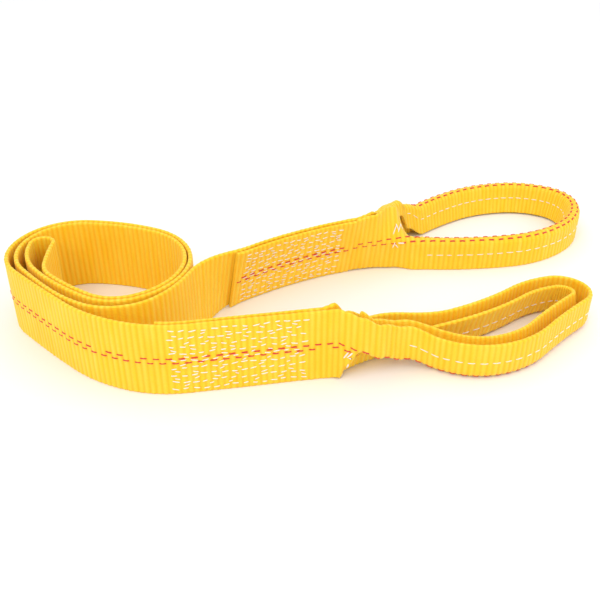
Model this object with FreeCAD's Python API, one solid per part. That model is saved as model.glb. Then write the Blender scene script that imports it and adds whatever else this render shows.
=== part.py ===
import FreeCAD, Part
import math
import os

# Flat eye-and-eye webbing sling. The strap stands on edge on the floor: its middle is doubled and
# coiled, its two legs run out of the coil side by side, and each ends in a sewn, folded eye.
# Millimetres, +Z up, the floor at z = 0, +X along the legs, +Y away from the front leg.

# Driving dimensions of the webbing.
strap_width = 50.0
strap_thickness = 3.0
half_width = strap_width / 2
half_thickness = strap_thickness / 2
coil_pitch = 3.6                 # centre to centre of two plies lying together in the coil
lap_pitch = 3.2                  # centre to centre of the two plies of a sewn splice

# The sewn splices and what is on the strap's faces.
lap_length = 98.0                # from the cut end of the strap to the throat of the eye
stitch_rows = 9
stitch_row_spread = 42.0         # from the lowest row to the highest
thread_width = 0.7
thread_height = 0.4
surface_gap = 0.05               # between a thread or yarn and the face it lies on
tracer_spacing = 3.2             # between the two coloured yarns
tracer_width = 1.1
seam_offset = 12.0               # from the eye's fold to the row that holds it folded
tack_height = 12.0
front_seam_ends = (88.0, 99.0)   # left out at the near and the far end of the eye
back_seam_ends = (77.0, 99.0)
front_yarn_ends = (88.0, 99.0)   # where the fold is too steep for these stand-ins to follow
back_yarn_ends = (77.0, 99.0)

# Gaps left where the strap flexes, measured along it on each side of the hinge line.
joint_gap = 0.3                  # where two stretches of the same body meet
leg_gap = 0.9
eye_gap = 1.3

# The fold of an eye.
loop_fold_radius = 3.4           # to the middle of the webbing, round the loop of the eye
throat_fold_radius = 2.2         # where the fold starts beside the other ply
fold_angle = 168.0               # nearly flat on itself
fold_steps = 4                   # corners round the fold
least_panel = 0.3                # between corners that meet at the webbing's edge
eye_step = 11.0                  # between sections of an eye
leg_step = lap_length / 16       # so that a section falls on the cut end
yarn_first = 165.0               # along the front run, where the back leg stops covering the coil's yarns
inner_yarns = (6.0, 44.0)        # along it, where they show in the pocket beside the mid fold
back_yarn_run = 30.0             # before the back hinge, where they come out of the coil

# Routes of the webbing's middle seen from above: a start, a heading in degrees from +X, and bends as
# (length, turn to the left). The front run is the outer ply of the coil and becomes the front leg.
front_run_start = FreeCAD.Vector(-197.5, -27.3)
front_run_heading = 268.0
first_turn_bends = [(37, 43), (52, 18), (32, 57), (63, 73), (48, 57), (50, 20)]
front_leg_bends = [(64, 87), (34, 52), (56, 4), (40, 22), (43, 29), (79, 0)]
front_hinge_from_throat = 124.0
# The back run is the inner ply: it bows in from the mid fold, lies along the first turn, and goes
# round again between the two turns before it leaves as the back leg.
inner_ply_bends = [(27, 9), (16, 38)]
inner_ply_joins = 50.0           # along the front run
back_leg_bends = [(53, 84), (35, 51), (37, 7), (25, 14), (49, 75), (31, 24), (43, -31), (97, -20)]
back_hinge_from_throat = 133.0
back_lean = 16.0                 # the back leg leans its top edge towards the front leg
back_lean_run = 45.0             # over which it starts to lean
# The eyes' outer halves, from the throat round to the throat again.
front_eye_bends = [(12, -29), (14, 23), (16, 31), (38, -62), (36, 41), (39, 33), (46, -7), (25, 91), (21, 63),
                   (32, 25), (38, -11), (47, -17), (44, 31), (14, -32)]
back_eye_bends = [(20, -9), (20, -5), (24, -8), (60, 13), (55, 35), (38, 36), (38, 68), (38, 35), (52, 28), (55, 14),
                  (46, 19), (14.5, -18), (14.5, -28)]
# How each eye folds: (distance, lean, where the fold lies, its turn, its radius, height of the kept
# edge). A fold at unfolded is past the strap's edge, so the strap is flat there.
unfolded = -half_width - throat_fold_radius * math.radians(fold_angle) / 2
front_eye_shape = [(3, 0, unfolded, fold_angle, throat_fold_radius, strap_width),
                   (10.5, 0, unfolded, fold_angle, throat_fold_radius, 51.1),
                   (15.8, 0, -15, fold_angle, throat_fold_radius, 49.7),
                   (24.5, 0, 0, fold_angle, throat_fold_radius, 46.5),
                   (38, 0, 0, fold_angle, throat_fold_radius, 39.5),
                   (54, 0, 0, fold_angle, throat_fold_radius, 33.4),
                   (78, 0, 0, fold_angle, loop_fold_radius, 25.4),
                   (330, 0, 0, fold_angle, loop_fold_radius, 25.4),
                   (385, 0, -6, fold_angle, throat_fold_radius, 31.5),
                   (405, 0, -16, fold_angle, throat_fold_radius, 41.8),
                   (414, 0, -24, fold_angle, throat_fold_radius, 51.6),
                   (418.5, 0, unfolded, fold_angle, throat_fold_radius, 50.8),
                   (421.5, 0, unfolded, fold_angle, throat_fold_radius, strap_width)]
back_eye_shape = [(0, back_lean, 0, 0, loop_fold_radius, 0), (15, 14.5, 0, 5, loop_fold_radius, 0),
                  (33.5, 10, 0, 40, loop_fold_radius, 0), (50, 0, 0, 140, loop_fold_radius, 0),
                  (66, 0, 0, fold_angle, loop_fold_radius, 0), (385, 0, 0, fold_angle, loop_fold_radius, 0),
                  (403, 0, -5, fold_angle, throat_fold_radius, 0), (413, 0, -12.5, fold_angle, throat_fold_radius, 0),
                  (455, -10, -22, fold_angle, throat_fold_radius, 0),
                  (467, -14, unfolded, fold_angle, throat_fold_radius, 0),
                  (475, -back_lean, unfolded, fold_angle, throat_fold_radius, 0)]


def direction(heading):
    return FreeCAD.Vector(math.cos(math.radians(heading)), math.sin(math.radians(heading)))


def left_of(heading):
    return direction(heading + 90)


def step_along(place, heading, length, turn):
    """The place and heading after one bend of the given length and turn."""
    half_turn = math.radians(turn) / 2
    chord = length if turn == 0 else length * math.sin(half_turn) / half_turn
    return place + direction(heading + turn / 2) * chord, heading + turn


class Route:
    """A run of lines and tangent arcs seen from above."""

    def __init__(self, start, heading, bends):
        self.start = start
        self.heading = heading
        self.bends = [bend for bend in bends if bend[0] > 1e-6]
        self.length = sum(length for length, turn in self.bends)

    def at(self, distance):
        """Place and heading at a distance along the route."""
        place, heading = self.start, self.heading
        for length, turn in self.bends:
            if distance <= length:
                return step_along(place, heading, distance, turn * distance / length)
            place, heading = step_along(place, heading, length, turn)
            distance -= length
        return place + direction(heading) * distance, heading

    def part(self, first, last):
        """The stretch between two distances."""
        place, heading = self.at(first)
        bends = []
        passed = 0.0
        for length, turn in self.bends:
            low = max(first, passed)
            high = min(last, passed + length)
            if high > low:
                bends.append((high - low, turn * (high - low) / length))
            passed += length
        return Route(place, heading, bends)

    def beside(self, side):
        """The parallel route at a distance to the left."""
        bends = [(length - math.radians(turn) * side, turn) for length, turn in self.bends]
        return Route(self.start + left_of(self.heading) * side, self.heading, bends)

    def edges(self):
        """Its lines and arcs as edges at z = 0."""
        place, heading = self.start, self.heading
        made = []
        for length, turn in self.bends:
            middle, _ = step_along(place, heading, length / 2, turn / 2)
            end, heading = step_along(place, heading, length, turn)
            curve = Part.LineSegment(place, end) if turn == 0 else Part.Arc(place, middle, end)
            made.append(curve.toShape())
            place = end
        return made

    def end(self):
        return self.at(self.length)[0]


def upright_strip(route, right, left, low, high):
    """A strip standing on edge, from right to left of its route and from low to high."""
    right_side = route.beside(right)
    left_side = route.beside(left)
    caps = [Part.makeLine(right_side.end(), left_side.end()), Part.makeLine(left_side.start, right_side.start)]
    outline = Part.Wire(Part.__sortEdges__(right_side.edges() + left_side.edges() + caps))
    strip = Part.Face(outline).extrude(FreeCAD.Vector(0, 0, high - low))
    strip.translate(FreeCAD.Vector(0, 0, low))
    return strip


def upright_webbing(route):
    return upright_strip(route, -half_thickness, half_thickness, 0, strap_width)


def save(shape, name):
    problem = not shape.isValid() or any(solid.Volume <= 0 for solid in shape.Solids)
    print(name, "solids", len(shape.Solids), "volume", round(shape.Volume), "PROBLEM" if problem else "")
    shape.exportStep("parts/" + name + ".step")


class Ribbon:
    """Webbing along a route that may lean and fold lengthwise, and the threads and yarns on its faces.

    Across is measured up the webbing from its middle, and out to the right of the route from its
    mid-surface. The kept half stands on the route, and the other half folds over to the left.
    """

    def __init__(self, route, keeps_top, shape_at, step, grid_from=0, closing_shift=FreeCAD.Vector()):
        self.route = route
        self.step = step
        self.grid_from = grid_from
        self.kept = 1 if keeps_top else -1
        self.shape_at = shape_at
        self.closing_shift = closing_shift

    def point(self, distance, across, out):
        place, heading = self.route.at(distance)
        place = place + self.closing_shift * (distance / self.route.length)
        lean, fold_at, fold_turn, radius, edge_height = self.shape_at(distance)
        lean_turn = math.radians(lean)
        left = left_of(heading)
        up = FreeCAD.Vector(0, 0, math.cos(lean_turn)) - left * math.sin(lean_turn)
        inward = left * math.cos(lean_turn) + FreeCAD.Vector(0, 0, math.sin(lean_turn))
        edge_height += (lap_pitch + half_thickness) * abs(math.sin(lean_turn))
        edge = place - left * (self.kept * half_width * math.sin(lean_turn)) + FreeCAD.Vector(0, 0, edge_height)
        # Walk from the kept edge down its straight half, round the fold and back.
        arc = radius * math.radians(fold_turn)
        straight = half_width - fold_at - arc / 2
        walked = half_width - self.kept * across
        turned = min(max(walked - straight, 0), arc) / radius
        along = min(walked, straight) + radius * math.sin(turned)
        inside = radius * (1 - math.cos(turned))
        rest = max(walked - straight - arc, 0)
        along += rest * math.cos(turned) + out * math.sin(turned)
        inside += rest * math.sin(turned) - out * math.cos(turned)
        return edge - up * (self.kept * along) + inward * inside

    def nearest_section(self, distance):
        return self.grid_from + round((distance - self.grid_from) / self.step) * self.step

    def sections(self, first, last):
        """The two ends and each place of the ribbon's grid between them, so that all its pieces share facets."""
        place = self.grid_from + math.ceil((first - self.grid_from) / self.step) * self.step
        places = [first]
        while place < last - 0.01:
            if place > first + 0.01:
                places.append(place)
            place += self.step
        return places + [last]

    def solid(self, first, last, outline_at):
        """A solid whose section at each distance is a closed outline of (across, out) points."""
        rings = []
        for distance in self.sections(first, last):
            rings.append([self.point(distance, across, out) for across, out in outline_at(distance)])
        # Every section has its corners in the same order, so corner to corner makes the sides.
        faces = [Part.Face(Part.makePolygon(ring + ring[:1])) for ring in (rings[0], rings[-1])]
        for ring, following in zip(rings, rings[1:]):
            for corner in range(len(ring)):
                near, far = ring[corner], following[corner]
                near_before, far_before = ring[corner - 1], following[corner - 1]
                faces.append(Part.Face(Part.makePolygon([near_before, near, far, near_before])))
                faces.append(Part.Face(Part.makePolygon([near_before, far, far_before, near_before])))
        shell = Part.Shell(faces)
        shell.sewShape()
        made = Part.Solid(shell)
        if made.Volume < 0:
            made.reverse()
        return made

    def strip(self, first, last, low, high, right, left):
        """A strip between two heights across the webbing and two distances out from it."""
        outline = [(low, right), (high, right), (high, left), (low, left)]
        return self.solid(first, last, lambda distance: outline)

    def webbing(self, first, last):
        """The webbing itself, with extra corners round its fold."""
        def outline_at(distance):
            lean, fold_at, fold_turn, radius, edge_height = self.shape_at(distance)
            arc = radius * math.radians(fold_turn)
            corners = [fold_at + arc * (0.5 - index / fold_steps) for index in range(fold_steps + 1)]
            corners = [half_width] + corners + [-half_width]
            for index in range(len(corners)):
                corners[index] = max(corners[index], -half_width + least_panel * (len(corners) - 1 - index))
            for index in range(1, len(corners)):
                corners[index] = min(corners[index], half_width - least_panel * index)
            outer = [(self.kept * corner, half_thickness) for corner in corners]
            inner = [(self.kept * corner, -half_thickness) for corner in corners]
            return outer + inner[::-1]
        return self.solid(first, last, outline_at)


def between(keys, distance):
    """Smoothly blended values from keys, a list of (distance, values...) rows."""
    for before, after in zip(keys, keys[1:]):
        if distance <= after[0]:
            part = max(0.0, (distance - before[0]) / (after[0] - before[0]))
            part = part * part * (3 - 2 * part)
            return [low + (high - low) * part for low, high in zip(before[1:], after[1:])]
    return list(keys[-1][1:])


os.makedirs("parts", exist_ok=True)

# Coil: the front run, the back run and the fold that joins them in the middle of the strap.
front_run = Route(front_run_start, front_run_heading, first_turn_bends + front_leg_bends)
front_hinge = front_run.length - front_hinge_from_throat
save(upright_webbing(front_run.part(0, front_hinge - leg_gap)), "coil_front_run")

first_turn = sum(length for length, turn in first_turn_bends)
inner_ply = front_run.part(inner_ply_joins, first_turn).beside(coil_pitch)
inner_start, inner_heading = inner_ply.start, inner_ply.heading
for length, turn in reversed(inner_ply_bends):
    inner_start, _ = step_along(inner_start, inner_heading + 180, length, -turn)
    inner_heading -= turn
back_run = Route(inner_start, inner_heading, inner_ply_bends + inner_ply.bends + back_leg_bends)
back_hinge = back_run.length - back_hinge_from_throat
save(upright_webbing(back_run.part(0, back_hinge - leg_gap)), "coil_back_run")

fold_across = (front_run_start - inner_start).Length
mid_fold = Route(inner_start, inner_heading + 180, [(math.pi * fold_across / 2, 180)])
save(upright_webbing(mid_fold.part(joint_gap, mid_fold.length - joint_gap)), "coil_mid_fold")


def flat_shape(lean, keeps_top):
    """The shape of unfolded webbing, held by its top or its bottom edge."""
    return lean, unfolded, fold_angle, throat_fold_radius, strap_width if keeps_top else 0


def lay_tracers(ribbon, first, last, side, face=0):
    """The two coloured yarns on the right (1) or left (-1) face of a ply, as separate thin solids."""
    near = face + side * (half_thickness + surface_gap)
    yarns = []
    for row in (-1, 1):
        middle = row * tracer_spacing / 2
        low, high = middle - tracer_width / 2, middle + tracer_width / 2
        yarns.append(ribbon.strip(first, last, low, high, near, near + side * thread_height))
    return yarns


def upright_tracers(route, side):
    """The same two yarns on upright webbing, with the route's own arcs."""
    near = side * (half_thickness + surface_gap)
    right, left = sorted([-near, -near - side * thread_height])
    yarns = []
    for row in (-1, 1):
        middle = half_width + row * tracer_spacing / 2
        yarns.append(upright_strip(route, right, left, middle - tracer_width / 2, middle + tracer_width / 2))
    return yarns


def make_leg(name, route, hinge, lap_side, lean_at):
    """A leg from its hinge to the throat of its eye, with the cut end of the strap sewn to one side."""
    throat = route.length
    leg = Ribbon(route, lap_side < 0, lambda distance: flat_shape(lean_at(distance - hinge), lap_side < 0),
                 leg_step, throat)
    first, last = hinge + leg_gap, throat - eye_gap
    lap_first = throat - lap_length
    lap_middle = lap_side * lap_pitch
    save(leg.strip(first, last, -half_width, half_width, -half_thickness, half_thickness),
         name + "_leg_webbing")
    save(leg.strip(lap_first, last, -half_width, half_width, lap_middle - half_thickness,
                   lap_middle + half_thickness), name + "_lap_webbing")
    # Rows of stitching show on both outer faces of the splice.
    faces = sorted([-lap_side * half_thickness, lap_middle + lap_side * half_thickness])
    left = faces[0] - surface_gap
    right = faces[1] + surface_gap
    row_first, row_last = lap_first + leg_step, throat - leg_step
    rows = []
    for row in range(stitch_rows):
        middle = stitch_row_spread * (row / (stitch_rows - 1) - 0.5)
        low, high = middle - thread_width / 2, middle + thread_width / 2
        rows.append(leg.strip(row_first, row_last, low, high, left - thread_height, left))
        rows.append(leg.strip(row_first, row_last, low, high, right, right + thread_height))
    save(Part.makeCompound(rows), name + "_splice_stitching")
    # The yarns are on the strap's outer face, which is the outside of the eye on both its plies.
    yarns = lay_tracers(leg, first, last, -lap_side) + lay_tracers(leg, lap_first, last, lap_side, lap_middle)
    save(Part.makeCompound(yarns), name + "_leg_tracers")
    return leg


def make_eye(name, leg, near_out, far_out, bends, shape, seam_ends, yarn_ends):
    """An eye from one ply of the leg's throat round to the other."""
    throat, heading = leg.route.at(leg.route.length)
    near = throat - left_of(heading) * near_out
    far = throat - left_of(heading) * far_out
    route = Route(near, heading, bends)
    eye = Ribbon(route, leg.kept > 0, lambda distance: between(shape, distance), eye_step, 0, far - route.end())
    save(eye.webbing(eye_gap, route.length - eye_gap), name + "_eye_webbing")
    seam_middle = leg.kept * seam_offset
    right = half_thickness + surface_gap
    seam = eye.strip(eye.nearest_section(seam_ends[0]), eye.nearest_section(route.length - seam_ends[1]),
                     seam_middle - thread_width / 2, seam_middle + thread_width / 2, right, right + thread_height)
    save(seam, name + "_eye_seam")
    tack = eye.strip(eye_gap, eye_step, -tack_height / 2, -tracer_spacing, right, right + thread_height)
    save(tack, name + "_throat_tack")
    yarns = lay_tracers(eye, eye.nearest_section(yarn_ends[0]),
                        eye.nearest_section(route.length - yarn_ends[1]), 1)
    save(Part.makeCompound(yarns), name + "_eye_tracers")
    return eye


coil_yarns = upright_tracers(front_run.part(yarn_first, front_hinge - leg_gap), 1)
coil_yarns += upright_tracers(front_run.part(*inner_yarns), -1)
coil_yarns += upright_tracers(back_run.part(back_hinge - back_yarn_run, back_hinge - leg_gap), -1)
save(Part.makeCompound(coil_yarns), "coil_tracers")

front_leg = make_leg("front", front_run, front_hinge, -1, lambda distance: 0)
back_leg = make_leg("back", back_run, back_hinge, 1,
                    lambda distance: between([(0, 0), (back_lean_run, back_lean)], distance)[0])
make_eye("front", front_leg, 0, -lap_pitch, front_eye_bends, front_eye_shape, front_seam_ends, front_yarn_ends)
make_eye("back", back_leg, lap_pitch, 0, back_eye_bends, back_eye_shape, back_seam_ends, back_yarn_ends)
for name, run, at in (("front leg", front_run, front_hinge), ("front throat", front_run, front_run.length),
                      ("back leg", back_run, back_hinge), ("back throat", back_run, back_run.length)):
    print(name, "hinge", run.at(at))
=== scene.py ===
import bpy
import math
import random
import numpy as np
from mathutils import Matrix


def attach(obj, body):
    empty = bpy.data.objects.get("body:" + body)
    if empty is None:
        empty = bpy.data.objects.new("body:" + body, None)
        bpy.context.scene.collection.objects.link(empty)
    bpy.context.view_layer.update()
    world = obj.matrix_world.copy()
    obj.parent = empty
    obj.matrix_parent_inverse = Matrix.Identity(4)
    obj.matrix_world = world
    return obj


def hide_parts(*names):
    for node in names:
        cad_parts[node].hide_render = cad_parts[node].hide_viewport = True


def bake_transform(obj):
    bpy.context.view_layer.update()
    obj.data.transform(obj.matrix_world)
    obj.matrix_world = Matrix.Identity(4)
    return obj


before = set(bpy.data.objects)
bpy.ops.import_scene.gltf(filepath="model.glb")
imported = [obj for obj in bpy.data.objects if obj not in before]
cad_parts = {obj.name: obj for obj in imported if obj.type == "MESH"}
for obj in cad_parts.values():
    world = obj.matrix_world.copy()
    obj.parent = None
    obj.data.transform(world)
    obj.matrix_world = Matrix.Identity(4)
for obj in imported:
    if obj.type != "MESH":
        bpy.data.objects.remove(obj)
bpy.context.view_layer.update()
bpy.ops.object.select_all(action="DESELECT")
random.seed(7)
print("frame loaded:", len(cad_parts), "nodes")

# The webbing, in metres. Distances run along it, across runs up it from its middle, and out is
# measured from its mid-surface to the right of the way it runs.
strap = {
    "width": 0.050,
    "thickness": 0.0030,
    "coilPitch": 0.0036,  # centre to centre of two plies lying together in the coil
    "lapPitch": 0.0032,  # the same in a sewn splice
    "lapLength": 0.098,
    "ribPitch": 0.0037,
    "ribDepth": 0.00042,
    "smallRib": 0.70,  # every second rib stands this much as high as its neighbours
    "waver": 0.00012,  # how far the faces wander in and out
    "waves": ((71, 90), (23, -140)),  # turns of that wander along and across
    "quilting": 0.00014,  # how far stitching pulls a splice in between its rows
    "quiltPitch": 0.0053,
    "pull": 0.0009,  # how far stitching pulls the ribs along
    "pullPitch": 0.0105,
    "sewnAfter": 0.006,  # from the cut end to the first stitches
    "sewnBefore": 0.007,  # from the last stitches to the throat
    "sewnFade": 0.004,
    "edgeRadius": 0.001,
    "edgePoints": 5,  # round each selvedge
    "acrossStep": 0.00135,
    "alongStep": 0.00062,
}
halfWidth = strap["width"] / 2
halfThickness = strap["thickness"] / 2

# Where the strap flexes, as stretches before and after its hinge lines.
flex = {"leg": 0.012, "legTurn": 0.008, "throatBefore": 0.006, "throatAfter": 0.010}


def heading(degrees):
    return np.stack([np.cos(np.radians(degrees)), np.sin(np.radians(degrees))], axis=-1)


class Route:
    # A run of lines and tangent arcs seen from above, from a start and a heading.
    # Its bends are (length, turn to the left).
    def __init__(self, start, headingAtStart, bends):
        self.start = np.array(start, float)
        self.headingAtStart = headingAtStart
        self.bends = [bend for bend in bends if bend[0] > 1e-9]
        self.length = sum(length for length, turn in self.bends)

    def at(self, distances):
        distances = np.asarray(distances, float)
        places = np.zeros(distances.shape + (2,))
        headings = np.zeros(distances.shape)
        place, facing, passed = self.start, self.headingAtStart, 0.0
        for index, (length, turn) in enumerate(self.bends):
            here = distances >= passed if index else np.ones(distances.shape, bool)
            part = distances[here] - passed
            turned = turn * part / length
            halfTurn = np.radians(turned) / 2
            chord = part * np.sinc(halfTurn / np.pi)
            places[here] = place + heading(facing + turned / 2) * chord[..., None]
            headings[here] = facing + turned
            halfTurn = math.radians(turn) / 2
            place = place + heading(facing + turn / 2) * length * np.sinc(halfTurn / np.pi)
            facing += turn
            passed += length
        return places, headings

    def part(self, first, last):
        places, headings = self.at([first])
        bends, passed = [], 0.0
        for length, turn in self.bends:
            low, high = max(first, passed), min(last, passed + length)
            if high > low:
                bends.append((high - low, turn * (high - low) / length))
            passed += length
        return Route(places[0], headings[0], bends)

    def beside(self, side):
        bends = [(length - math.radians(turn) * side, turn) for length, turn in self.bends]
        return Route(self.start + heading(self.headingAtStart + 90) * side, self.headingAtStart, bends)


def between(keys, distances):
    # Smoothly blended columns of keys, which are (distance, values...) rows.
    keys = np.array(keys, float)
    distances = np.clip(distances, keys[0, 0], keys[-1, 0])
    row = np.clip(np.searchsorted(keys[:, 0], distances) - 1, 0, len(keys) - 2)
    part = (distances - keys[row, 0]) / (keys[row + 1, 0] - keys[row, 0])
    part = (part * part * (3 - 2 * part))[..., None]
    return np.moveaxis(keys[row, 1:] * (1 - part) + keys[row + 1, 1:] * part, -1, 0)


class Ribbon:
    # Webbing along a route that may lean, and fold lengthwise to the left.
    # The kept half stands on the route.
    def __init__(self, route, keepsTop, keys, closingShift=(0.0, 0.0), phase=0.0):
        self.route = route
        self.kept = 1 if keepsTop else -1
        self.keys = keys
        self.closingShift = np.array(closingShift)
        self.phase = phase  # the strap's own distance at the start, which the ribs follow

    def own(self, distances):
        return self.phase + np.asarray(distances, float)

    def points(self, distances, across, out):
        distances, across, out = np.broadcast_arrays(distances, across, out)
        places, headings = self.route.at(distances)
        places = places + self.closingShift * (distances / self.route.length)[..., None]
        lean, foldAt, foldTurn, radius, edgeHeight = between(self.keys, distances)
        lean = np.radians(lean)
        left = heading(headings + 90)
        edgeHeight = edgeHeight + (strap["lapPitch"] + halfThickness) * np.abs(np.sin(lean))
        arc = radius * np.radians(foldTurn)
        straight = halfWidth - foldAt - arc / 2
        walked = halfWidth - self.kept * across
        turned = np.clip(walked - straight, 0, arc) / radius
        rest = np.maximum(walked - straight - arc, 0)
        along = np.minimum(walked, straight) + radius * np.sin(turned)
        along = along + rest * np.cos(turned) + out * np.sin(turned)
        inside = radius * (1 - np.cos(turned)) + rest * np.sin(turned) - out * np.cos(turned)
        sideways = -self.kept * halfWidth * np.sin(lean) + self.kept * along * np.sin(lean)
        sideways = sideways + inside * np.cos(lean)
        height = edgeHeight - self.kept * along * np.cos(lean) + inside * np.sin(lean)
        return np.concatenate([places + left * sideways[..., None], height[..., None]], axis=-1)


# The routes. The front run is the outer ply of the coil and becomes the front leg; the back run is
# the inner ply, goes round once more between the two turns, and becomes the back leg.
coil = {
    "start": (-0.1975, -0.0273),
    "heading": 268.0,
    "firstTurn": [(0.037, 43), (0.052, 18), (0.032, 57), (0.063, 73), (0.048, 57), (0.050, 20)],
    "frontLeg": [(0.064, 87), (0.034, 52), (0.056, 4), (0.040, 22), (0.043, 29), (0.079, 0)],
    "innerPly": [(0.027, 9), (0.016, 38)],
    "innerPlyJoins": 0.050,
    "backLeg": [(0.053, 84), (0.035, 51), (0.037, 7), (0.025, 14), (0.049, 75), (0.031, 24), (0.043, -31),
                (0.097, -20)],
    "frontHinge": 0.124,  # before the throat of the eye
    "backHinge": 0.133,
    "backLean": 16.0,
    "backLeanRun": 0.045,
    "yarnsFrom": 0.165,  # along the front run, where the back leg stops covering its marker yarns
    "innerYarns": (0.006, 0.044),  # where they show in the pocket beside the mid fold
    "backYarnRun": 0.030,  # before the back hinge
}
frontRun = Route(coil["start"], coil["heading"], coil["firstTurn"] + coil["frontLeg"])
frontHinge = frontRun.length - coil["frontHinge"]
innerPly = frontRun.part(coil["innerPlyJoins"], sum(length for length, turn in coil["firstTurn"]))
innerPly = innerPly.beside(strap["coilPitch"])
innerStart, innerHeading = innerPly.start, innerPly.headingAtStart
for length, turn in reversed(coil["innerPly"]):
    step = Route(innerStart, innerHeading + 180, [(length, -turn)])
    innerStart = step.at([length])[0][0]
    innerHeading -= turn
backRun = Route(innerStart, innerHeading, coil["innerPly"] + innerPly.bends + coil["backLeg"])
backHinge = backRun.length - coil["backHinge"]
foldAcross = float(np.linalg.norm(frontRun.start - innerStart))
midFold = Route(innerStart, innerHeading + 180, [(math.pi * foldAcross / 2, 180)])

# How the webbing folds. Past the strap's edge, at unfolded, a fold leaves it flat.
loopRadius = 0.0034  # round the loop of an eye
throatRadius = 0.0022  # where the fold starts beside the other ply
foldAngle = 168.0
unfolded = -halfWidth - throatRadius * math.radians(foldAngle) / 2


def flatKeys(keepsTop, leanKeys=((0, 0), (1, 0))):
    edge = strap["width"] if keepsTop else 0
    return [(distance, lean, unfolded, foldAngle, throatRadius, edge) for distance, lean in leanKeys]


backLeanKeys = ((backHinge, 0), (backHinge + coil["backLeanRun"], coil["backLean"]))
# An eye's outer half from above, and its fold by distance as rows of (distance, lean, where the fold
# lies, its turn, its radius, height of the kept edge).
frontEye = {
    "bends": [
        (0.012, -29), (0.014, 23), (0.016, 31), (0.038, -62), (0.036, 41), (0.039, 33),
        (0.046, -7), (0.025, 91), (0.021, 63), (0.032, 25), (0.038, -11), (0.047, -17),
        (0.044, 31), (0.014, -32),
    ],
    "fold": [
        (0.003, 0, unfolded, foldAngle, throatRadius, 0.0500),
        (0.0105, 0, unfolded, foldAngle, throatRadius, 0.0511),
        (0.0158, 0, -0.015, foldAngle, throatRadius, 0.0497),
        (0.0245, 0, 0, foldAngle, throatRadius, 0.0465),
        (0.038, 0, 0, foldAngle, throatRadius, 0.0395),
        (0.054, 0, 0, foldAngle, throatRadius, 0.0334),
        (0.078, 0, 0, foldAngle, loopRadius, 0.0254),
        (0.330, 0, 0, foldAngle, loopRadius, 0.0254),
        (0.385, 0, -0.006, foldAngle, throatRadius, 0.0315),
        (0.405, 0, -0.016, foldAngle, throatRadius, 0.0418),
        (0.414, 0, -0.024, foldAngle, throatRadius, 0.0516),
        (0.4185, 0, unfolded, foldAngle, throatRadius, 0.0508),
        (0.4215, 0, unfolded, foldAngle, throatRadius, 0.0500),
    ],
    "seam": (0.060, 0.060),  # unsewn at the near and the far end
}
backEye = {
    "bends": [
        (0.020, -9), (0.020, -5), (0.024, -8), (0.060, 13), (0.055, 35), (0.038, 36),
        (0.038, 68), (0.038, 35), (0.052, 28), (0.055, 14), (0.046, 19), (0.0145, -18),
        (0.0145, -28),
    ],
    "fold": [
        (0, 16, 0, 0, loopRadius, 0),
        (0.015, 14.5, 0, 5, loopRadius, 0),
        (0.0335, 10, 0, 40, loopRadius, 0),
        (0.050, 0, 0, 140, loopRadius, 0),
        (0.066, 0, 0, foldAngle, loopRadius, 0),
        (0.385, 0, 0, foldAngle, loopRadius, 0),
        (0.403, 0, -0.005, foldAngle, throatRadius, 0),
        (0.413, 0, -0.0125, foldAngle, throatRadius, 0),
        (0.455, -10, -0.022, foldAngle, throatRadius, 0),
        (0.467, -14, unfolded, foldAngle, throatRadius, 0),
        (0.475, -16, unfolded, foldAngle, throatRadius, 0),
    ],
    "seam": (0.060, 0.070),
}


def eyeRibbon(leg, eye, nearOut, farOut):
    # An eye from one ply of the leg's throat round to the other.
    throat, facing = leg.route.at([leg.route.length])
    left = heading(facing[0] + 90)
    route = Route(throat[0] - left * nearOut, facing[0], eye["bends"])
    end = route.at([route.length])[0][0]
    shift = throat[0] - left * farOut - end
    return Ribbon(route, leg.kept > 0, eye["fold"], shift, leg.own(leg.route.length))


frontLeg = Ribbon(frontRun, True, flatKeys(True))
backLeg = Ribbon(backRun, False, flatKeys(False, backLeanKeys), phase=3.0)
frontLoop = eyeRibbon(frontLeg, frontEye, 0, -strap["lapPitch"])
backLoop = eyeRibbon(backLeg, backEye, strap["lapPitch"], 0)


# Materials.
class Value:
    # A shader socket that takes part in Python expressions.
    def __init__(self, shader, socket):
        self.shader = shader
        self.socket = socket

    def combine(self, operation, first, second):
        return self.shader.add("ShaderNodeMath", {"operation": operation}, {0: first, 1: second})

    def __add__(self, other):
        return self.combine("ADD", self, other)

    def __radd__(self, other):
        return self.combine("ADD", other, self)

    def __sub__(self, other):
        return self.combine("SUBTRACT", self, other)

    def __rsub__(self, other):
        return self.combine("SUBTRACT", other, self)

    def __mul__(self, other):
        return self.combine("MULTIPLY", self, other)

    def __rmul__(self, other):
        return self.combine("MULTIPLY", other, self)

    def __pow__(self, other):
        return self.combine("POWER", self, other)

    def sine(self):
        return self.combine("SINE", self, 0)

    def size(self):
        return self.combine("ABSOLUTE", self, 0)

    def outlet(self, index):
        return Value(self.shader, self.socket.node.outputs[index])


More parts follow.
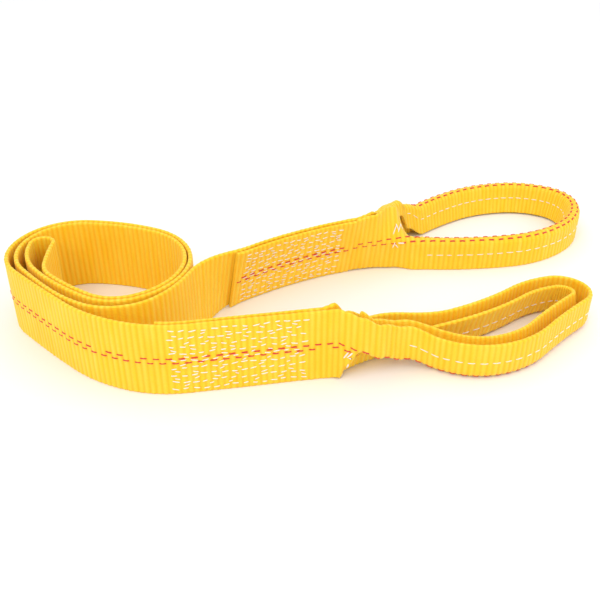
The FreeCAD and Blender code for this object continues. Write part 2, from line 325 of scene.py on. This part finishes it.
class Shader:
    def __init__(self, name):
        self.material = bpy.data.materials.new(name)
        self.material.use_nodes = True
        self.tree = self.material.node_tree
        self.surface = self.tree.nodes["Principled BSDF"]

    def add(self, kind, settings=None, inputs=None, output=0):
        node = self.tree.nodes.new(kind)
        for key, setting in (settings or {}).items():
            if key == "stops":
                while len(node.color_ramp.elements) < len(setting):
                    node.color_ramp.elements.new(0.5)
                for element, (position, colour) in zip(node.color_ramp.elements, setting):
                    element.position = position
                    element.color = (*colour, 1)
            else:
                setattr(node, key, setting)
        for key, given in (inputs or {}).items():
            self.give(node.inputs[key], given)
        return Value(self, node.outputs[output])

    def give(self, socket, given):
        if isinstance(given, Value):
            self.tree.links.new(given.socket, socket)
        elif hasattr(given, "__len__") and len(given) == 3 and len(socket.default_value) == 4:
            socket.default_value = (*given, 1)
        else:
            socket.default_value = given

    def mix(self, factor, low, high):
        return self.add("ShaderNodeMix", {"data_type": "RGBA"}, {0: factor, 6: low, 7: high}, 2)

    def finish(self, links, fixed):
        for key, given in {**links, **fixed}.items():
            self.give(self.surface.inputs[key], given)
        return self.material


webbingLook = {
    "crown": (1.00, 0.65, 0.012),
    # valley: painted shade, the colour the hollows between the ribs take in shade
    "shadedValley": (0.96, 0.47, 0.003),
    # pale: painted highlight, the pale streaks that light draws along the rib crowns
    "ribHighlight": (1.00, 0.76, 0.085),
    "warpPitch": 0.00105,
    "warpShift": 1.4,  # radians that the yarns move over from rib to rib
    "patchScale": 34.0,
    "speckleScale": 1500.0,
    "streakScale": (270.0, 26.0, 1.0),
    "roughness": 0.52,
    "bump": 0.00016,
}
threadLook = {"colour": (0.95, 0.90, 0.86), "shade": (0.86, 0.72, 0.56), "twist": 2600.0}
yarnLook = {"colour": (0.74, 0.040, 0.018), "shade": (0.50, 0.022, 0.010), "twist": 1900.0}


def makeWebbingMaterial():
    # Ribs cross the strap. In each, the lengthwise yarns float side by side, and in the next they move over.
    look = webbingLook
    shader = Shader("webbing")
    surface = shader.add("ShaderNodeUVMap", {"uv_map": "strap"})
    split = shader.add("ShaderNodeSeparateXYZ", None, {0: surface})
    along = split
    across = split.outlet(1)
    ribTurn = along * (math.pi / strap["ribPitch"])
    # How deep in the hollow between two ribs; it sets the painted valley shade as well as the roughness and
    # bump.
    shadedValley = ribTurn.sine().size() ** 3.0
    ribSide = (along * (math.pi / 2 / strap["ribPitch"]) + math.pi / 4).sine()
    yarnTurn = across * (2 * math.pi / look["warpPitch"]) + ribSide * look["warpShift"]
    # Where the warp yarns meet, the gaps take a little painted shade in the colour below.
    yarns = yarnTurn.sine() * 0.5 + 0.5
    place = shader.add("ShaderNodeTexCoord", None, None, 3)
    patchInputs = {"Vector": place, "Scale": look["patchScale"], "Detail": 3.0}
    patches = shader.add("ShaderNodeTexNoise", None, patchInputs)
    speckleInputs = {"Vector": place, "Scale": look["speckleScale"], "Detail": 2.0}
    speckle = shader.add("ShaderNodeTexNoise", None, speckleInputs)
    stretched = shader.add("ShaderNodeVectorMath", {"operation": "MULTIPLY"},
                           {0: surface, 1: look["streakScale"]})
    streaks = shader.add("ShaderNodeTexNoise", None, {"Vector": stretched, "Scale": 1.0, "Detail": 1.0})
    # Painted highlight: noise streaks running along the ribs turn their crowns paler in places, varying at
    # random.
    crown = shader.mix((streaks - 0.35) * 1.6, look["crown"], look["ribHighlight"])
    # Painted shade in the rib hollows and between the warp yarns, with random tonal patches and speckle.
    shade = shadedValley * 0.62 + (1 - yarns) * 0.16 + (patches - 0.5) * 0.5 + (speckle - 0.5) * 0.25
    colour = shader.mix(shade, crown, look["shadedValley"])
    rough = look["roughness"] + shadedValley * 0.16 + (speckle - 0.5) * 0.2
    height = yarns * (1 - shadedValley * 0.6) + (speckle - 0.5) * 0.5
    bumpInputs = {"Height": height, "Distance": look["bump"], "Strength": 0.9}
    normal = shader.add("ShaderNodeBump", None, bumpInputs)
    return shader.finish({"Base Color": colour, "Roughness": rough, "Normal": normal},
                         {"Sheen Weight": 0.16, "Sheen Roughness": 0.4, "Specular IOR Level": 0.35})


def makeThreadMaterial(name, look, bump):
    # Two twisted plies, as slanting bands on the thread's own along and around.
    shader = Shader(name)
    surface = shader.add("ShaderNodeUVMap", {"uv_map": "strap"})
    split = shader.add("ShaderNodeSeparateXYZ", None, {0: surface})
    around = split.outlet(1)
    bands = (split * look["twist"] + around * (4 * math.pi)).sine() * 0.5 + 0.5
    place = shader.add("ShaderNodeTexCoord", None, None, 3)
    fuzz = shader.add("ShaderNodeTexNoise", None, {"Vector": place, "Scale": 1800.0, "Detail": 2.0})
    colour = shader.mix((1 - bands) * 0.55 + (fuzz - 0.5) * 0.5, look["colour"], look["shade"])
    bumpInputs = {"Height": bands + fuzz * 0.4, "Distance": bump, "Strength": 0.8}
    normal = shader.add("ShaderNodeBump", None, bumpInputs)
    return shader.finish({"Base Color": colour, "Roughness": 0.55 + (fuzz - 0.5) * 0.2, "Normal": normal},
                         {"Sheen Weight": 0.15})


webbingMaterial = makeWebbingMaterial()
threadMaterial = makeThreadMaterial("sewing thread", threadLook, 0.00008)
yarnMaterial = makeThreadMaterial("marker yarn", yarnLook, 0.00008)
print("materials made")


smoothBelow = 60.0  # degrees between two faces


def finishPiece(name, corners, faces, surface, material):
    # A mesh with its faces outward, and each corner's place along and across its surface in a UV map.
    mesh = bpy.data.meshes.new(name)
    mesh.from_pydata(corners, [], faces)
    layer = mesh.uv_layers.new(name="strap")
    corner = np.zeros(len(mesh.loops), np.int32)
    mesh.loops.foreach_get("vertex_index", corner)
    layer.data.foreach_set("uv", surface[corner].ravel())
    mesh.materials.append(material)
    made = bpy.data.objects.new(name, mesh)
    bpy.context.scene.collection.objects.link(made)
    bpy.ops.object.select_all(action="DESELECT")
    made.select_set(True)
    bpy.context.view_layer.objects.active = made
    bpy.ops.object.mode_set(mode="EDIT")
    bpy.ops.mesh.select_all(action="SELECT")
    bpy.ops.mesh.normals_make_consistent(inside=False)
    bpy.ops.object.mode_set(mode="OBJECT")
    bpy.ops.object.shade_smooth_by_angle(angle=math.radians(smoothBelow))
    return made


# Webbing.
def crownAt(own):
    # From 0 in the valley between two ribs to 1 on a rib's crown.
    rib = 1 - np.abs(np.sin(np.pi * own / strap["ribPitch"])) ** 3
    tall = np.cos(np.pi * own / strap["ribPitch"]) ** 2 * np.cos(np.pi * np.round(own / strap["ribPitch"]))
    return rib * np.where(tall < 0, strap["smallRib"], 1.0)


def outline():
    # One section of the strap as (across, share of the thickness out) corners, right face first.
    rounding = strap["edgeRadius"]
    count = round((strap["width"] - 2 * rounding) / strap["acrossStep"])
    face = np.linspace(halfWidth - rounding, -halfWidth + rounding, count + 1)
    turns = np.linspace(0, math.pi, strap["edgePoints"] + 2)[1:-1]
    edge = np.stack([-halfWidth + rounding - rounding * np.sin(turns), np.cos(turns)], axis=1)
    right = np.stack([face, np.ones(len(face))], axis=1)
    return np.concatenate([right, edge, -right, -edge])


def faceOut(own, across, stitched):
    # How far a face stands out from the mid-surface.
    quilt = np.cos(across * (2 * math.pi / strap["quiltPitch"])) * strap["quilting"] * stitched
    pulled = own + np.sin(across * (2 * math.pi / strap["pullPitch"])) * strap["pull"] * stitched
    return halfThickness - strap["ribDepth"] * (1 - crownAt(pulled)) - strap["quilting"] * stitched + quilt


def makeStrap(name, ribbon, first, last, middleOut=0.0, stitchedFrom=None, stitchedTo=None):
    count = max(2, math.ceil((last - first) / strap["alongStep"]))
    distances = np.linspace(first, last, count + 1)[:, None]
    corners = outline()
    across, share = corners[None, :, 0], corners[None, :, 1]
    own = ribbon.own(distances)
    stitched = np.zeros_like(distances)
    if stitchedFrom is not None:
        inside = np.minimum(distances - stitchedFrom, stitchedTo - distances)
        stitched = np.clip(inside / strap["sewnFade"], 0, 1)
    wander = strap["waver"]
    for along, sideways in strap["waves"]:
        wander = wander * np.sin(own * along + across * sideways)
    out = share * faceOut(own, across, stitched) + wander + middleOut
    places = ribbon.points(distances, across, out)
    rings, ring = places.shape[:2]
    index = np.arange(rings * ring).reshape(rings, ring)
    following = np.roll(index, -1, axis=1)
    quads = np.stack([index[:-1], following[:-1], following[1:], index[1:]], axis=-1).reshape(-1, 4)
    faces = quads.tolist() + [index[0].tolist()[::-1], index[-1].tolist()]
    onStrap = [np.broadcast_to(own, (rings, ring)), np.broadcast_to(across, (rings, ring)) + halfWidth]
    onStrap = np.stack(onStrap, axis=-1).reshape(-1, 2)
    made = finishPiece(name, places.reshape(-1, 3), faces, onStrap, webbingMaterial)
    print(name, round(last - first, 3), "m,", len(made.data.polygons), "faces")
    return made


def hingeLine(ribbon, distance, before, after, side=0.0):
    # The two points, before and after a hinge, between which the strap flexes.
    place, facing = ribbon.route.at([distance])
    along = heading(facing[0])
    middle = place[0] + heading(facing[0] + 90) * side
    start, end = middle - along * before, middle + along * after
    return (start[0], start[1], halfWidth), (end[0], end[1], halfWidth)


legHinges = {
    "front": hingeLine(frontLeg, frontHinge, flex["legTurn"], flex["legTurn"]),
    "back": hingeLine(backLeg, backHinge, flex["legTurn"], flex["legTurn"]),
}
throatFlex = (flex["throatBefore"], flex["throatAfter"])
throatHinges = {
    "front": hingeLine(frontLeg, frontRun.length, *throatFlex, strap["lapPitch"] / 2),
    "back": hingeLine(backLeg, backRun.length, *throatFlex, -strap["lapPitch"] / 2),
}


def makeSide(name, leg, loop, hinge, lapSide):
    # The flexing stretch at the hinge, the leg, its lap and its eye.
    route = leg.route
    throat = route.length
    lapFirst = throat - strap["lapLength"]
    sewn = (lapFirst + strap["sewnAfter"], throat - strap["sewnBefore"])
    bend = makeStrap(name + "_bend", leg, hinge - flex["leg"], hinge + flex["leg"])
    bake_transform(bend)
    legStrap = makeStrap(name + "_leg_strap", leg, hinge + flex["leg"], throat, 0.0, *sewn)
    lap = makeStrap(name + "_lap_strap", leg, lapFirst, throat, lapSide * strap["lapPitch"], *sewn)
    eye = makeStrap(name + "_eye_strap", loop, 0, loop.route.length)
    for piece in (legStrap, lap, eye):
        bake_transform(piece)
    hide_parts(name + "_leg_webbing")
    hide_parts(name + "_lap_webbing")
    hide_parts(name + "_eye_webbing")


frontCoil = makeStrap("front_run", frontLeg, 0, frontHinge - flex["leg"])
backCoil = makeStrap("back_run", backLeg, 0, backHinge - flex["leg"])
foldRibbon = Ribbon(midFold, False, flatKeys(False), phase=-midFold.length)
middle = makeStrap("mid_fold", foldRibbon, 0, midFold.length)
for piece, node, length, held, restsOn in (
    (frontCoil, "coil_front_run", frontHinge - flex["leg"], "laid", "back_run"),
    (backCoil, "coil_back_run", backHinge - flex["leg"], "laid", "front_run"),
    (middle, "coil_mid_fold", midFold.length, "folded", "front_run"),
):
    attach(piece, "coil")
    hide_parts(node)
makeSide("front", frontLeg, frontLoop, frontHinge, -1)
makeSide("back", backLeg, backLoop, backHinge, 1)
print("webbing made")


# Threads and marker yarns.
def makeFloat():
    # One length of thread between two needle holes: 1 long, 1 wide and 1 high, tapered, lying along X.
    bpy.ops.mesh.primitive_cylinder_add(vertices=8, radius=0.5, depth=0.56, end_fill_type="NGON",
                                        rotation=(0, math.pi / 2, 0))
    made = bpy.context.object
    bpy.ops.object.transform_apply(location=True, rotation=True, scale=True)
    mesh = made.data
    for share, reach in ((0.80, 0.12), (0.35, 0.10)):
        for side in (-1, 1):
            bpy.ops.object.mode_set(mode="EDIT")
            bpy.ops.mesh.select_mode(type="FACE")
            bpy.ops.mesh.select_all(action="DESELECT")
            bpy.ops.object.mode_set(mode="OBJECT")
            for face in mesh.polygons:
                face.select = face.normal.x * side > 0.9
            bpy.ops.object.mode_set(mode="EDIT")
            bpy.ops.mesh.extrude_region_move(TRANSFORM_OT_translate={"value": (side * reach, 0, 0)})
            bpy.ops.transform.resize(value=(1, share, share))
            bpy.ops.object.mode_set(mode="OBJECT")
    corners = np.array([vertex.co[:] for vertex in mesh.vertices])
    faces = [list(face.vertices) for face in mesh.polygons]
    bpy.data.objects.remove(made)
    return corners, faces


floatCorners, floatFaces = makeFloat()


def layFloats(name, material, floats):
    # Copies of the float in one piece, each (ribbon, distance, across, out, length, width, slant, arch).
    places, faces, uvs, used = [], [], [], 0
    for ribbon, distance, across, out, length, width, slant, arch in floats:
        x, y, z = floatCorners.T
        turn = math.radians(slant)
        along = x * length
        aside = y * width
        side = math.copysign(1, out)
        rise = z * width + arch * (1 - (2 * x) ** 2) - arch
        forward = distance + along * math.cos(turn) - aside * math.sin(turn)
        upward = across + along * math.sin(turn) + aside * math.cos(turn)
        places.append(ribbon.points(forward, upward, out + side * rise))
        uvs.append(np.stack([along + distance, np.arctan2(z, y) / (2 * math.pi)], axis=1))
        faces.extend([[used + corner for corner in face] for face in floatFaces])
        used += len(x)
    made = finishPiece(name, np.concatenate(places), faces, np.concatenate(uvs), material)
    print(name, len(floats), "floats")
    return made


yarns = {
    "spacing": 0.0032,
    "length": 0.0042,
    "lengths": (0.92, 1.06),  # shares of that length
    "width": 0.00100,
    "bury": 0.00012,  # how far the middle of a yarn lies under the strap's face
    "arch": 0.0003,
    "endGap": 0.002,
    "waver": 0.0001,
    "slant": 3,
}


def yarnFloats(ribbon, first, last, side=1, middleOut=0.0):
    # Two marker yarns, each on the face over every second rib, one rib out from the other.
    pitch = 2 * strap["ribPitch"]
    floats = []
    for row in (0, 1):
        own = sorted([ribbon.own(first), ribbon.own(last)])
        offset = row * strap["ribPitch"]
        for step in range(math.ceil((own[0] - offset) / pitch), math.floor((own[1] - offset) / pitch) + 1):
            distance = step * pitch + offset - ribbon.phase
            if first + yarns["endGap"] < distance < last - yarns["endGap"]:
                across = (row - 0.5) * yarns["spacing"] + random.uniform(-1, 1) * yarns["waver"]
                out = middleOut + side * (halfThickness - yarns["bury"])
                length = yarns["length"] * random.uniform(*yarns["lengths"])
                slant = random.uniform(-yarns["slant"], yarns["slant"])
                floats.append((ribbon, distance, across, out, length, yarns["width"], slant, yarns["arch"]))
    return floats


sewing = {
    "rows": 9,
    "rowSpread": 0.042,
    "margin": 0.006,
    "pitch": 0.0059,
    "length": 0.0040,
    "width": 0.00068,
    "seamOffset": 0.012,
    "seamPitch": 0.0076,
    "seamLength": 0.0052,
    "seamArch": 0.0003,
    "endMargin": 0.0075,  # from the last stitches of a splice to the throat
    "arch": 0.00022,
    "drift": 0.0006,  # how far a row wanders up and down
    "driftAlong": 210,
    "driftByRow": 1.7,
    "lengths": (0.75, 1.15),
    "slant": 14,
    "pitches": (0.88, 1.12),
    "looseUp": 0.0026,  # loose crossings, above each row
    "looseWaver": 0.0007,
    "looseGaps": (0.009, 0.017),
    "looseLengths": (0.6, 1.0),
    "looseSlants": (8, 24),
    "looseWidth": 0.9,
    "looseArch": 0.0002,
}


def spliceFloats(leg, lapSide):
    # Rows of stitches on both faces, and loose slanting crossings between them.
    throat = leg.route.length
    first = throat - strap["lapLength"] + sewing["margin"]
    last = throat - sewing["endMargin"]
    faces = (-lapSide * halfThickness, lapSide * (strap["lapPitch"] + halfThickness))
    floats = []
    for face in faces:
        for row in range(sewing["rows"]):
            across = sewing["rowSpread"] * (row / (sewing["rows"] - 1) - 0.5)
            distance = first + random.uniform(0.5, 1.0) * sewing["pitch"] / 2 + 0.001
            while distance < last - 0.002:
                wave = distance * sewing["driftAlong"] + row * sewing["driftByRow"]
                drift = sewing["drift"] * math.sin(wave)
                size = random.uniform(*sewing["lengths"])
                slant = random.uniform(-sewing["slant"], sewing["slant"])
                floats.append((leg, distance, across + drift, face, sewing["length"] * size, sewing["width"],
                               slant, sewing["arch"]))
                distance += sewing["pitch"] * random.uniform(*sewing["pitches"])
            distance = first + random.uniform(0.3, 1.0) * 0.012
            while row < sewing["rows"] - 1 and distance < last - 0.003:
                height = across + sewing["looseUp"] + random.uniform(-1, 1) * sewing["looseWaver"]
                length = sewing["length"] * random.uniform(*sewing["looseLengths"])
                slant = random.choice((-1, 1)) * random.uniform(*sewing["looseSlants"])
                floats.append((leg, distance, height, face, length, sewing["width"] * sewing["looseWidth"],
                               slant, sewing["looseArch"]))
                distance += random.uniform(*sewing["looseGaps"])
    return floats


def seamFloats(loop, eye):
    # The row that holds the eye folded, showing on its outer half and on its inner half.
    floats = []
    last = loop.route.length - eye["seam"][1]
    for half in (1, -1):
        distance = eye["seam"][0]
        while distance < last:
            floats.append((loop, distance, half * loop.kept * sewing["seamOffset"], halfThickness,
                           sewing["seamLength"] * random.uniform(0.85, 1.1), sewing["width"],
                           random.uniform(-4, 4), sewing["seamArch"]))
            distance += sewing["seamPitch"] * random.uniform(0.95, 1.05)
    return floats


tack = {"out": 0.0002, "width": 1.25, "arch": 0.0002}


def tackFloats(loop, distance, across, strokes):
    # A bar tack: strokes as (along, across, length, slant) from its middle.
    out, width = halfThickness + tack["out"], sewing["width"] * tack["width"]
    return [(loop, distance + along, across + up, out, length, width, slant, tack["arch"])
            for along, up, length, slant in strokes]


frontYarnPieces = (
    ("coil_marker_yarns", ["coil_tracers"], "coil", None,
     yarnFloats(frontLeg, coil["yarnsFrom"], frontHinge - flex["leg"])
     + yarnFloats(frontLeg, *coil["innerYarns"], -1)
     + yarnFloats(backLeg, backHinge - coil["backYarnRun"], backHinge - flex["leg"], -1)),
    ("front_bend_yarns", [], None, ("coil", "front_leg", legHinges["front"]),
     yarnFloats(frontLeg, frontHinge - flex["leg"], frontHinge + flex["leg"])),
    ("front_leg_yarns", ["front_leg_tracers"], None, ("front_leg", "front_eye", throatHinges["front"]),
     yarnFloats(frontLeg, frontHinge + flex["leg"], frontRun.length)
     + yarnFloats(frontLeg, frontRun.length - strap["lapLength"], frontRun.length, -1, -strap["lapPitch"])),
    ("front_eye_yarns", ["front_eye_tracers"], None, ("front_leg", "front_eye", throatHinges["front"]),
     yarnFloats(frontLoop, 0, frontLoop.route.length)),
)
backYarnPieces = (
    ("back_bend_yarns", [], None, ("coil", "back_leg", legHinges["back"]),
     yarnFloats(backLeg, backHinge - flex["leg"], backHinge + flex["leg"], -1)),
    ("back_leg_yarns", ["back_leg_tracers"], None, ("back_leg", "back_eye", throatHinges["back"]),
     yarnFloats(backLeg, backHinge + flex["leg"], backRun.length, -1)
     + yarnFloats(backLeg, backRun.length - strap["lapLength"], backRun.length, 1, strap["lapPitch"])),
    ("back_eye_yarns", ["back_eye_tracers"], None, ("back_leg", "back_eye", throatHinges["back"]),
     yarnFloats(backLoop, 0, backLoop.route.length)),
)
for name, nodes, body, joint, floats in frontYarnPieces + backYarnPieces:
    piece = layFloats(name, yarnMaterial, floats)
    if body:
        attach(piece, body)
    else:
        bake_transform(piece)
    if nodes:
        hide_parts(*nodes)

frontTack = [(0, 0, 0.006, 62), (0.0022, 0.0008, 0.006, 58), (0.005, -0.001, 0.007, 12),
             (0.010, -0.0005, 0.005, -8), (0.001, -0.008, 0.004, 70)]
backTack = [(-0.001, 0, 0.0075, 66), (0.0012, 0.0016, 0.006, -70), (0.0032, 0.0012, 0.0075, 64),
            (0.0054, 0.003, 0.005, -72), (-0.002, -0.011, 0.005, 74), (0.0004, -0.012, 0.004, -52),
            (0.0035, -0.0095, 0.005, -6)]
threadPieces = (
    ("front_splice_threads", "front_splice_stitching", "front_leg", spliceFloats(frontLeg, -1)),
    ("back_splice_threads", "back_splice_stitching", "back_leg", spliceFloats(backLeg, 1)),
    ("front_seam_threads", "front_eye_seam", "front_eye", seamFloats(frontLoop, frontEye)),
    ("back_seam_threads", "back_eye_seam", "back_eye", seamFloats(backLoop, backEye)),
    ("front_tack_threads", "front_throat_tack", "front_eye",
     tackFloats(frontLoop, 0.0155, -0.0048, frontTack)),
    ("back_tack_threads", "back_throat_tack", "back_eye", tackFloats(backLoop, 0.034, 0.008, backTack)),
)
for name, node, body, floats in threadPieces:
    piece = layFloats(name, threadMaterial, floats)
    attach(piece, body)
    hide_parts(node)
print("threads and yarns laid")


# Floor, light and camera.
studio = {
    "floor": (0.94, 0.94, 0.94),
    "world": 1.0,
    "camera": (-0.0158, -0.5013, 0.309),
    "down": 32.8,
    "lens": 48.0,
    "key": ((-0.5, -0.9, 1.1), 0.7, 4.5),  # place, size and power
    "fill": ((1.0, -0.3, 1.0), 1.0, 3),
}


def makeFloor():
    bpy.ops.mesh.primitive_plane_add(size=8, location=(0, 0, 0))
    floor = bpy.context.object
    floor.name = "floor"
    shader = Shader("floor")
    floor.data.materials.append(shader.finish({}, {"Base Color": studio["floor"], "Roughness": 0.9}))


def addSoftbox(name, place, size, power):
    bpy.ops.object.light_add(type="AREA", location=place)
    light = bpy.context.object
    light.name = name
    light.data.size = size
    light.data.energy = power
    aim = -light.location
    light.rotation_euler = aim.to_track_quat("-Z", "Y").to_euler()


makeFloor()
world = bpy.data.worlds.new("studio")
world.use_nodes = True
world.node_tree.nodes["Background"].inputs["Color"].default_value = (1, 1, 1, 1)
world.node_tree.nodes["Background"].inputs["Strength"].default_value = studio["world"]
bpy.context.scene.world = world
addSoftbox("key", *studio["key"])
addSoftbox("fill", *studio["fill"])
bpy.context.scene.view_settings.view_transform = "Standard"
bpy.ops.object.camera_add(location=studio["camera"], rotation=(math.radians(90 - studio["down"]), 0, 0))
camera = bpy.context.object
camera.data.lens = studio["lens"]
camera.data.sensor_width = 36
camera.data.clip_start = 0.01
bpy.context.scene.camera = camera
print("studio set")
